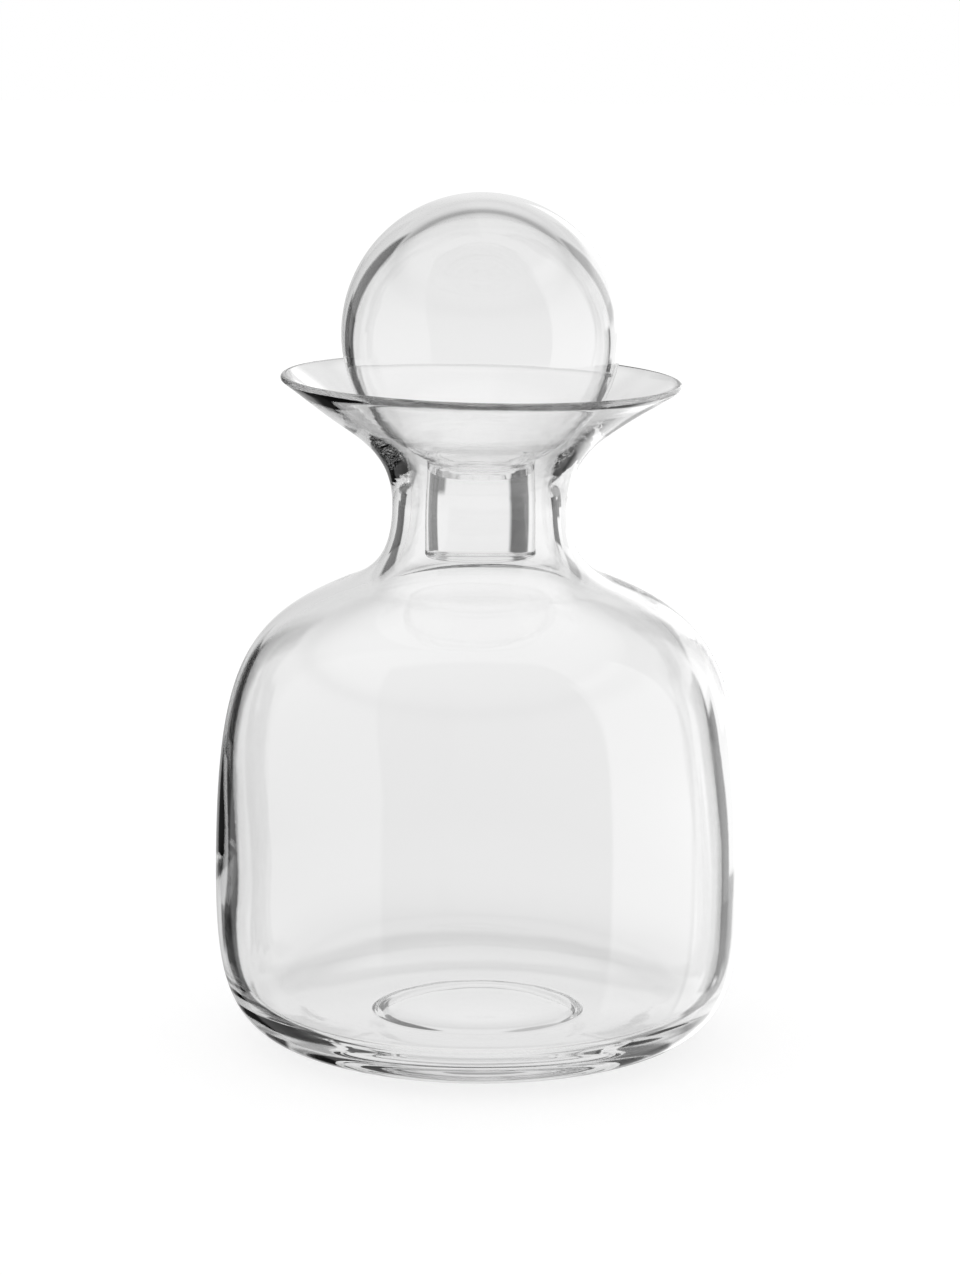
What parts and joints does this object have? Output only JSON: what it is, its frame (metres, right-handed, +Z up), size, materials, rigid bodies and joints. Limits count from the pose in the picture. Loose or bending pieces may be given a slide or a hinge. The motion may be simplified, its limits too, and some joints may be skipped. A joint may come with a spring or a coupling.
{
  "type": "glass carafe with ball stopper",
  "caption": "Clear blown glass carafe with a rounded body, waisted neck and funnel lip, closed by a lift-out hollow ball stopper on a short solid stem.",
  "frame": {"origin": "middle of the base, on the surface that the foot ring stands on", "axes": "+Z up along the axis of the vessel and its stopper; the object is round, so +X and +Y are free"},
  "size_m": [0.13, 0.13, 0.2094],
  "materials": {
    "vessel_glass": "clear colourless blown glass, polished, with a fine ground foot ring",
    "stopper_glass": "clear colourless glass, polished"
  },
  "bodies": {
    "carafe": {"carafe_vessel": "vessel_glass"},
    "stopper": {"stopper_ball": "stopper_glass", "stopper_stem": "stopper_glass"}
  },
  "joints": [
    {"name": "stopper_lift", "type": "slide", "parent": "carafe", "child": "stopper", "axis": [0, 0, 1], "range_m": [0, 0.1]}
  ]
}
